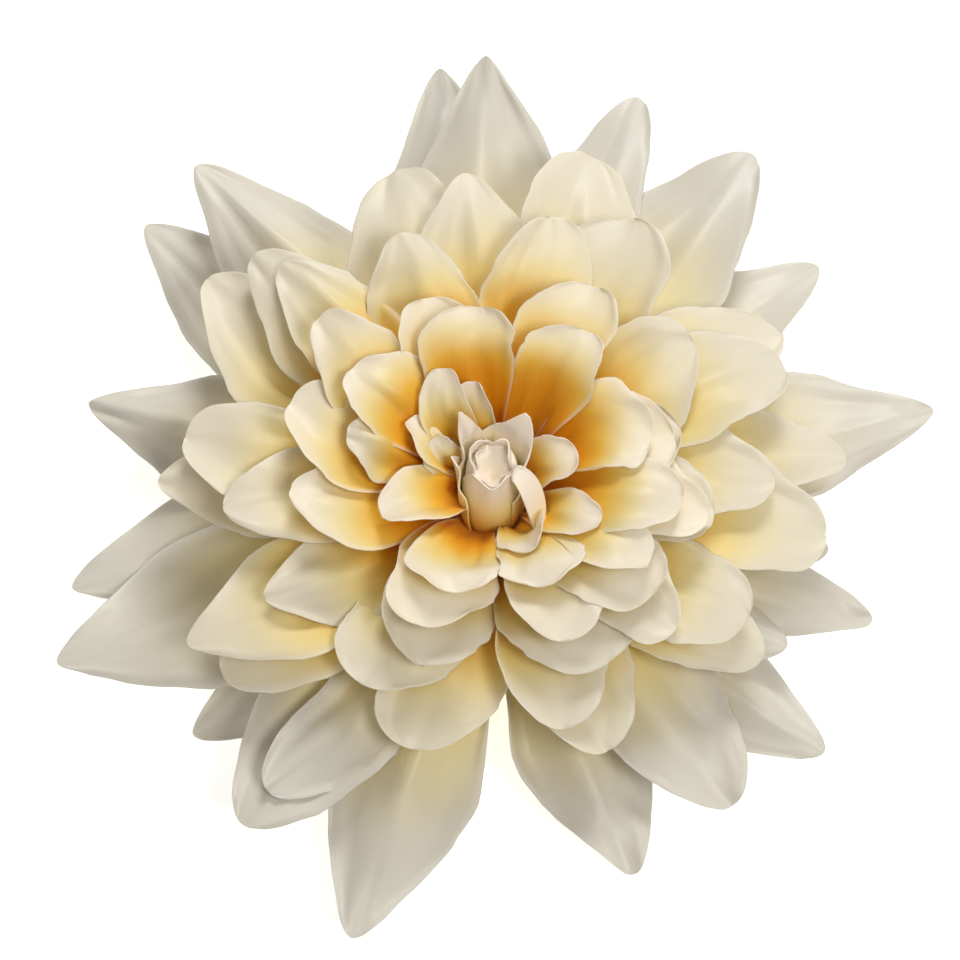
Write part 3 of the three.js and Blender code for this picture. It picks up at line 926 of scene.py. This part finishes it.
def petal_material(name, glow, warmth_and_painted_light):
    """Satin petal: cream scaled by a tint that paints shade or light and warms it, dyed yellow to orange at
    its foot. glow is the light let through.
    """
    colours = bpy.context.scene.dahlia_colours
    material, tree, output = shader_tree(name)
    s, v, tone = parts_of(attribute(tree, "petal_place", True))
    dye = attribute(tree, "dye")
    place = Field(tree, tree.nodes.new("ShaderNodeTexCoord").outputs["Object"], True)
    clouds = noise(tree, place, 55.0, 2.0)
    veins = noise(tree, vector(tree, v * 16.0 + tone * 13.0, s * 1.3, tone * 7.0), 1.0, 2.0)
    level = dye + dye * (0.10 * clouds + 0.06 * veins)

    ramp = tree.nodes.new("ShaderNodeValToRGB")
    plug(tree, ramp.inputs[0], level)
    stops = ramp.color_ramp.elements
    # The tint scales the cream: below 1 it is painted shade, on the outer and middle petals; above 1 it is
    # painted light, on the inner petals and the heart; unequal channels warm it.
    cream = tuple(channel * share for channel, share in zip(colours.cream, warmth_and_painted_light))
    stops[0].position, stops[0].color = 0.0, (*cream, 1.0)
    stops[1].position, stops[1].color = 1.0, (*colours.ember, 1.0)
    for position, colour in ((0.38, colours.butter), (0.72, colours.yolk)):
        stop = stops.new(position)
        stop.color = (*colour, 1.0)

    # The rim and the tip are painted lighter, towards a brighter cream: a painted glow on the thin rim and
    # painted light on the tip. Each petal has its own tone.
    rim = most(smooth(size_of(v), 0.9, 1.0), smooth(s, 0.975, 1.0))
    painted_rim_and_tip_light = most(rim * 0.6, 0.55 * smooth(s, 0.6, 1.0))
    edge = tuple(min(0.5 * (channel + full) * 1.03, 0.96) for channel, full in zip(cream, colours.cream))
    colour = blend(tree, painted_rim_and_tip_light, ramp.outputs[0], edge)
    shade = 1.0 + 0.05 * (tone - 0.5) + 0.025 * clouds + 0.008 * veins
    shade = vector(tree, shade, shade, shade * 0.995)
    colour = blend(tree, 1.0, colour, shade, "MULTIPLY")

    # A few small reddish specks.
    cells = add_node(tree, "ShaderNodeTexVoronoi", Vector=place, Scale=160.0)
    pick = parts_of(Field(tree, cells.outputs["Color"], True))[0]
    near = 1.0 - smooth(Field(tree, cells.outputs["Distance"]), 0.05, 0.11)
    speck = near * smooth(pick, 0.992, 0.9925)
    colour = blend(tree, speck * 0.6, colour, SPECK_COLOUR)

    crepe = noise(tree, place, 700.0, 2.0)
    relief = 0.35 * crepe + 0.15 * veins
    bump = add_node(tree, "ShaderNodeBump", Strength=0.35, Distance=0.1 * MM, Height=relief)
    shader = add_node(tree, "ShaderNodeBsdfPrincipled", Base_Color=colour,
                      Roughness=0.43 + 0.05 * crepe, Normal=bump.outputs[0])
    shader.inputs["Specular IOR Level"].default_value = 0.5
    shader.inputs["Sheen Weight"].default_value = 0.06
    shader.inputs["Sheen Roughness"].default_value = 0.5
    light = add_node(tree, "ShaderNodeBsdfTranslucent", Color=colour, Normal=bump.outputs[0])
    mix = tree.nodes.new("ShaderNodeMixShader")
    mix.inputs[0].default_value = glow
    tree.links.new(shader.outputs[0], mix.inputs[1])
    tree.links.new(light.outputs[0], mix.inputs[2])
    tree.links.new(mix.outputs[0], output.inputs[0])
    return material


def green_material(name, colour, fibre):
    """Matt plant green with a paler bloom, and with the fibres of a stem or the veins of a leaf."""
    material, tree, output = shader_tree(name)
    place = Field(tree, tree.nodes.new("ShaderNodeTexCoord").outputs["Object"], True)
    if fibre:
        x, y, z = parts_of(place)
        angle = calc(tree, "ARCTAN2", y, x)
        lines = noise(tree, vector(tree, angle * 9.0, z * 60.0, 0.0), 1.0, 2.0)
    else:
        s, v, tone = parts_of(attribute(tree, "petal_place", True))
        lines = noise(tree, vector(tree, v * 9.0 + tone * 11.0, s * 1.5, tone), 1.0, 2.0)
    clouds = noise(tree, place, 140.0, 2.0)
    pale = tuple(min(1.0, c * 1.9 + 0.06) for c in colour)
    mixed = blend(tree, smooth(lines + 0.6 * clouds, -0.6, 1.1), colour, pale)
    if fibre:
        # The cut end has a pale core, about 4 mm in radius.
        core = 1.0 - smooth(x * x + y * y, 13.5 * MM * MM, 16.5 * MM * MM)
        cut = core * (1.0 - smooth(z, 0.3 * MM, 0.6 * MM))
        mixed = blend(tree, cut, mixed, CUT_END_COLOUR)
    grain = noise(tree, place, 2200.0, 2.0)
    bump = add_node(tree, "ShaderNodeBump", Strength=0.5, Distance=0.2 * MM,
                    Height=0.8 * lines + 0.15 * grain)
    shader = add_node(tree, "ShaderNodeBsdfPrincipled", Base_Color=mixed,
                      Roughness=0.62 + 0.08 * clouds, Normal=bump.outputs[0])
    tree.links.new(shader.outputs[0], output.inputs[0])
    return material


class DAHLIA_OT_outer_petals(bpy.types.Operator):
    """Build the long pointed petals of the back, with the ring that they stand on"""

    bl_idname = "dahlia.outer_petals"
    bl_label = "Build Outer Petals"

    def execute(self, context):
        # The tint darkens the outer petals' cream as painted shade.
        paint = petal_material("outer_satin", glow=0.12, warmth_and_painted_light=(0.70, 0.688, 0.672))
        looks = {"dye_start": 0.05, "dye_end": 0.9, "roll": 0.16, "lip": 0.15}
        for name, row, dye, relief in (
            ("back", BACK_ROW, 0.4, 1.2), ("front", FRONT_ROW, 0.65, 1.8),
            ("shoulder", SHOULDER_ROW, 0.95, 1.8),
        ):
            petals_of(f"{name}_petals", row, paint, "outer_petals", "outer_petal",
                      dye=dye, folds=relief, ridge=relief, **looks)
        ring_piece("outer_ring", OUTER_RING, paint, "outer_petals")
        return {"FINISHED"}


class DAHLIA_OT_middle_petals(bpy.types.Operator):
    """Build the three rows of broad petals, with the ring that they stand on"""

    bl_idname = "dahlia.middle_petals"
    bl_label = "Build Middle Petals"

    def execute(self, context):
        # The tint darkens and warms the middle petals' cream as painted shade.
        paint = petal_material("middle_satin", glow=0.32, warmth_and_painted_light=(0.925, 0.9, 0.84))
        grid = {"rows": 34, "columns": 23}
        looks = {"dye_start": 0.15, "dye_end": 1.0, "folds": 1.05, "lip": 0.5, "roll": 0.2}
        for name, row, dye, lean in (
            ("low", LOW_ROW, 0.9, -0.08), ("mid", MID_ROW, 1.05, -0.04),
            ("high", HIGH_ROW, 1.25, 0.08),
        ):
            petals_of(f"{name}_petals", row, paint, "middle_petals", "middle_petal",
                      dye=dye, dye_lean=lean, **grid, **looks)
        ring_piece("middle_ring", MIDDLE_RING, paint, "middle_petals")
        return {"FINISHED"}


class DAHLIA_OT_inner_petals(bpy.types.Operator):
    """Build the two steep rows with orange throats, with the ring that they stand on"""

    bl_idname = "dahlia.inner_petals"
    bl_label = "Build Inner Petals"

    def execute(self, context):
        # The tint warms the inner petals' cream and lightens it a little as painted light.
        paint = petal_material("inner_satin", glow=0.32, warmth_and_painted_light=(1.03, 0.99, 0.93))
        grid = {"rows": 32, "columns": 23}
        looks = {"dye": 1.2, "dye_start": 0.25, "dye_end": 1.0, "dye_lean": 0.09, "folds": 0.5,
                 "lip": 0.7, "roll": 0.16, "curl": 0.6 * MM}
        for name, row in (("cup", CUP_ROW), ("throat", THROAT_ROW)):
            petals_of(f"{name}_petals", row, paint, "inner_petals", "inner_petal", **grid, **looks)
        ring_piece("inner_ring", INNER_RING, paint, "inner_petals")
        return {"FINISHED"}


class DAHLIA_OT_heart(bpy.types.Operator):
    """Build the closed bud, the sheets wrapped round it and the small curled petals"""

    bl_idname = "dahlia.heart"
    bl_label = "Build Heart"

    def execute(self, context):
        # The tint lightens and warms the curls' cream as painted light.
        paint = petal_material("heart_satin", glow=0.3, warmth_and_painted_light=(1.05, 1.0, 0.96))
        for name, row in (("low", LOW_CURLS), ("high", HIGH_CURLS)):
            petals_of(f"{name}_curls", row, paint, "heart", "heart", rows=28, columns=21,
                      dye=1.0, dye_start=0.28, dye_end=1.04, dye_lean=0.06,
                      folds=0.35, thickness=1.0, lip=0.5, ruffle=0.3, ridge=0.35, roll=0.6,
                      curl=0.8 * MM)
        bud_piece(petal_material("bud_satin", glow=0.1, warmth_and_painted_light=(1.05, 0.955, 0.89)))
        return {"FINISHED"}


class DAHLIA_OT_calyx(bpy.types.Operator):
    """Build the green cup below the petals with its two rings of leaflets"""

    bl_idname = "dahlia.calyx"
    bl_label = "Build Calyx"

    def execute(self, context):
        colours = context.scene.dahlia_colours
        paint = green_material("calyx_leaf", tuple(colours.leaf), fibre=False)
        for name, row in (("inner", INNER_BRACTS), ("outer", OUTER_BRACTS)):
            petals_of(f"{name}_leaflets", row, paint, "calyx", "calyx", rows=22, columns=15,
                      folds=0.25, lip=0.4, ruffle=0.5, ridge=0.3, thickness=1.8, dye=0.0)

        # The cup has a low rib for each of its 13 leaflets.
        def place(radius, height, angle):
            radius *= 1 + 0.02 * math.sin(13 * angle)
            return Vector((radius * math.cos(angle), radius * math.sin(angle), height)) * MM

        work = lathe(smooth_outline([*CALYX_OUTLINE, CALYX_OUTLINE[0]], 2), place, sides=104)
        mesh_piece("calyx_cup", work, paint, "calyx")
        return {"FINISHED"}


class DAHLIA_OT_stem(bpy.types.Operator):
    """Build the short cut stem with its ribs and pale cut end"""

    bl_idname = "dahlia.stem"
    bl_label = "Build Stem"

    def execute(self, context):
        colours = context.scene.dahlia_colours
        paint = green_material("stem_skin", tuple(colours.stalk), fibre=True)

        # The cut length below the head has 16 low ribs.
        def place(radius, height, angle):
            if 0.1 < height < 5:
                radius *= 1 + 0.012 * math.sin(16 * angle) * min(1, height)
            return Vector((radius * math.cos(angle), radius * math.sin(angle), height)) * MM

        work = lathe(STEM_OUTLINE, place, sides=128)
        mesh_piece("cut_stem", work, paint, "stem")
        return {"FINISHED"}


class DAHLIA_OT_stage(bpy.types.Operator):
    """Build the pale floor, the soft lights and the camera"""

    bl_idname = "dahlia.stage"
    bl_label = "Build Stage"

    def execute(self, context):
        stage = context.scene.dahlia_stage
        work = bmesh.new()
        bmesh.ops.create_grid(work, x_segments=1, y_segments=1, size=FLOOR_REACH)
        mesh = bpy.data.meshes.new("floor")
        work.to_mesh(mesh)
        work.free()
        floor = bpy.data.objects.new("floor", mesh)
        context.collection.objects.link(floor)
        material, tree, output = shader_tree("floor_paper")
        shader = add_node(tree, "ShaderNodeBsdfPrincipled", Base_Color=FLOOR_COLOUR, Roughness=0.9)
        shader.inputs["Specular IOR Level"].default_value = 0.1
        shader.inputs["Emission Color"].default_value = (1.0, 1.0, 1.0, 1.0)
        shader.inputs["Emission Strength"].default_value = 0.6
        tree.links.new(shader.outputs[0], output.inputs[0])
        mesh.materials.append(material)

        for name, azimuth, elevation, distance, size, power, colour in LIGHTS:
            self.area(name, azimuth, elevation, distance, size, getattr(stage, power), colour)
        world = bpy.data.worlds.new("room")
        context.scene.world = world
        world.use_nodes = True
        ground = world.node_tree.nodes["Background"]
        ground.inputs[0].default_value = ROOM_COLOUR
        ground.inputs[1].default_value = stage.room

        data = bpy.data.cameras.new("camera")
        data.lens = LENS
        data.sensor_width = SENSOR
        data.shift_x = VIEW_SHIFT[0] / PHOTO_SIDE
        data.shift_y = VIEW_SHIFT[1] / PHOTO_SIDE
        data.clip_start = 0.01
        data.clip_end = 20
        camera = bpy.data.objects.new("camera", data)
        context.collection.objects.link(camera)
        back = Vector((0, -math.cos(stage.elevation), math.sin(stage.elevation)))
        camera.location = back * stage.distance
        camera.rotation_euler = (math.pi / 2 - stage.elevation, 0, 0)
        context.scene.camera = camera
        context.scene.view_settings.view_transform = "Standard"
        return {"FINISHED"}

    def area(self, name, azimuth, elevation, distance, size, power, colour):
        """A round soft light that faces the stem's foot."""
        data = bpy.data.lights.new(name, "AREA")
        data.shape = "DISK"
        data.size = size
        data.energy = power
        data.color = colour
        light = bpy.data.objects.new(name, data)
        bpy.context.collection.objects.link(light)
        a, e = math.radians(azimuth), math.radians(elevation)
        away = Vector((math.cos(a) * math.cos(e), math.sin(a) * math.cos(e), math.sin(e)))
        light.location = away * distance
        light.rotation_mode = "QUATERNION"
        light.rotation_quaternion = away.to_track_quat("Z", "Y")


STEPS = (
    DAHLIA_OT_stem, DAHLIA_OT_calyx, DAHLIA_OT_outer_petals, DAHLIA_OT_middle_petals,
    DAHLIA_OT_inner_petals, DAHLIA_OT_heart, DAHLIA_OT_stage,
)


class DAHLIA_PT_panel(bpy.types.Panel):
    """Lists the settings and the steps that build the flower"""

    bl_idname = "DAHLIA_PT_panel"
    bl_label = "Dahlia Flower"
    bl_space_type = "VIEW_3D"
    bl_region_type = "UI"
    bl_category = "Dahlia"

    def draw(self, context):
        for name in ("dahlia_head", "dahlia_colours", "dahlia_stage"):
            settings = getattr(context.scene, name)
            box = self.layout.box()
            for key in settings.bl_rna.properties.keys():
                if key not in ("rna_type", "name"):
                    box.prop(settings, key)
        for step in STEPS:
            self.layout.operator(step.bl_idname)


CLASSES = (HeadSettings, ColourSettings, StageSettings, *STEPS, DAHLIA_PT_panel)


def register():
    for cls in CLASSES:
        bpy.utils.register_class(cls)
    bpy.types.Scene.dahlia_head = bpy.props.PointerProperty(type=HeadSettings)
    bpy.types.Scene.dahlia_colours = bpy.props.PointerProperty(type=ColourSettings)
    bpy.types.Scene.dahlia_stage = bpy.props.PointerProperty(type=StageSettings)


def unregister():
    del bpy.types.Scene.dahlia_head
    del bpy.types.Scene.dahlia_colours
    del bpy.types.Scene.dahlia_stage
    for cls in reversed(CLASSES):
        bpy.utils.unregister_class(cls)


def main():
    register()
    bpy.ops.dahlia.stem()
    bpy.ops.dahlia.calyx()
    bpy.ops.dahlia.outer_petals()
    bpy.ops.dahlia.middle_petals()
    bpy.ops.dahlia.inner_petals()
    bpy.ops.dahlia.heart()
    bpy.ops.dahlia.stage()


if __name__ == "__main__":
    main()
